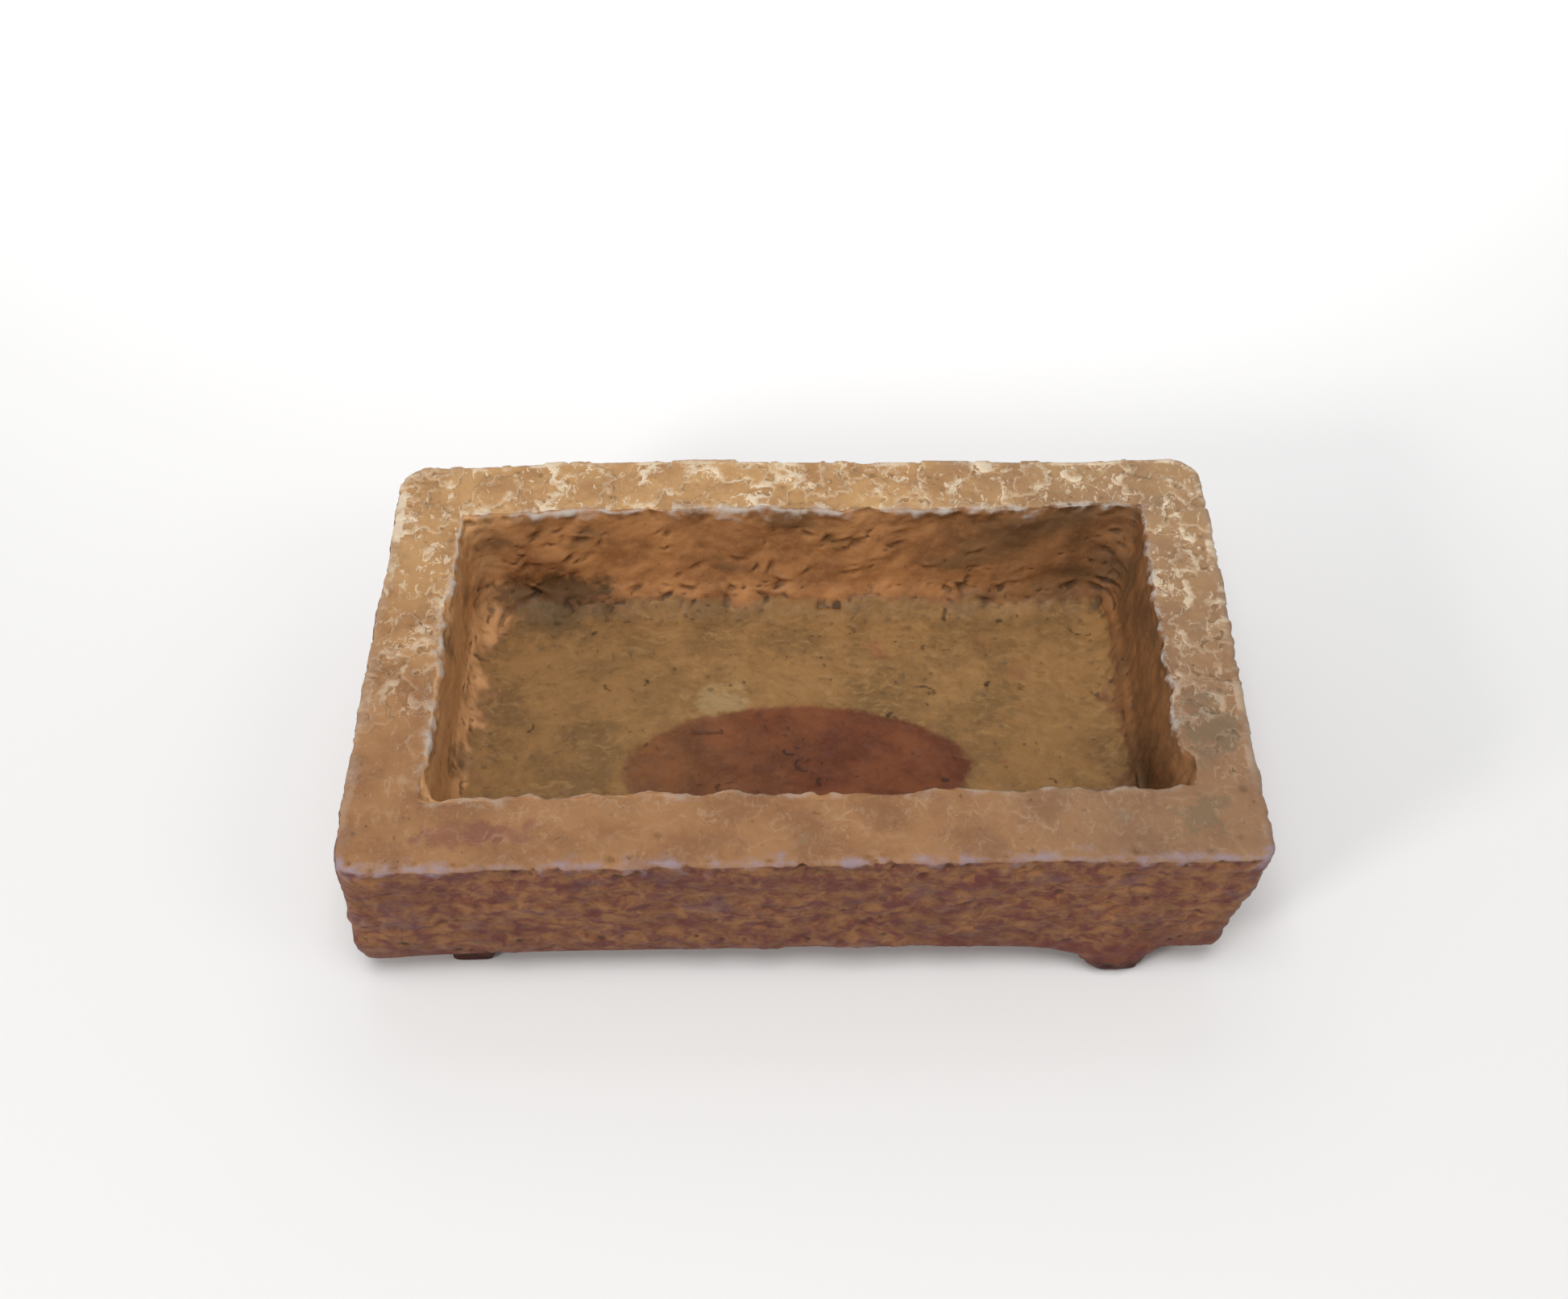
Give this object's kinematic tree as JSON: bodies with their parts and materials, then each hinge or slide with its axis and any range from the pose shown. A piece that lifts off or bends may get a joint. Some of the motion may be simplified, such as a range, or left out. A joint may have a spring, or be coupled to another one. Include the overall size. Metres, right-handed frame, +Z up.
{
  "type": "bonsai pot",
  "caption": "Shallow rectangular unglazed stoneware bonsai tray with thick slab walls, a flat rim, coil-filled inside seams and small block feet.",
  "frame": {"origin": "on the surface that the pot stands on, under the middle of the rim", "axes": "+X along the pot's length, +Y from its front to its back, +Z up"},
  "size_m": [0.12, 0.073, 0.028],
  "materials": {
    "floor_clay": "unglazed stoneware, olive-tan, with a red-brown flashing mark inside",
    "wall_clay": "unglazed coarse stoneware, tan rim with pale broken crust, plum-red outside faces",
    "coil_clay": "unglazed stoneware, smoothed with a fingertip, ochre-brown",
    "foot_clay": "unglazed stoneware, dark plum-brown"
  },
  "bodies": {
    "root": {"floor_slab": "floor_clay", "front_wall": "wall_clay", "back_wall": "wall_clay", "left_wall": "wall_clay", "right_wall": "wall_clay", "floor_coil_front": "coil_clay", "floor_coil_back": "coil_clay", "floor_coil_left": "coil_clay", "floor_coil_right": "coil_clay", "corner_coil_front_left": "coil_clay", "corner_coil_front_right": "coil_clay", "corner_coil_back_left": "coil_clay", "corner_coil_back_right": "coil_clay", "foot_front_left": "foot_clay", "foot_front_right": "foot_clay", "foot_back_left": "foot_clay", "foot_back_right": "foot_clay"}
  },
  "joints": []
}
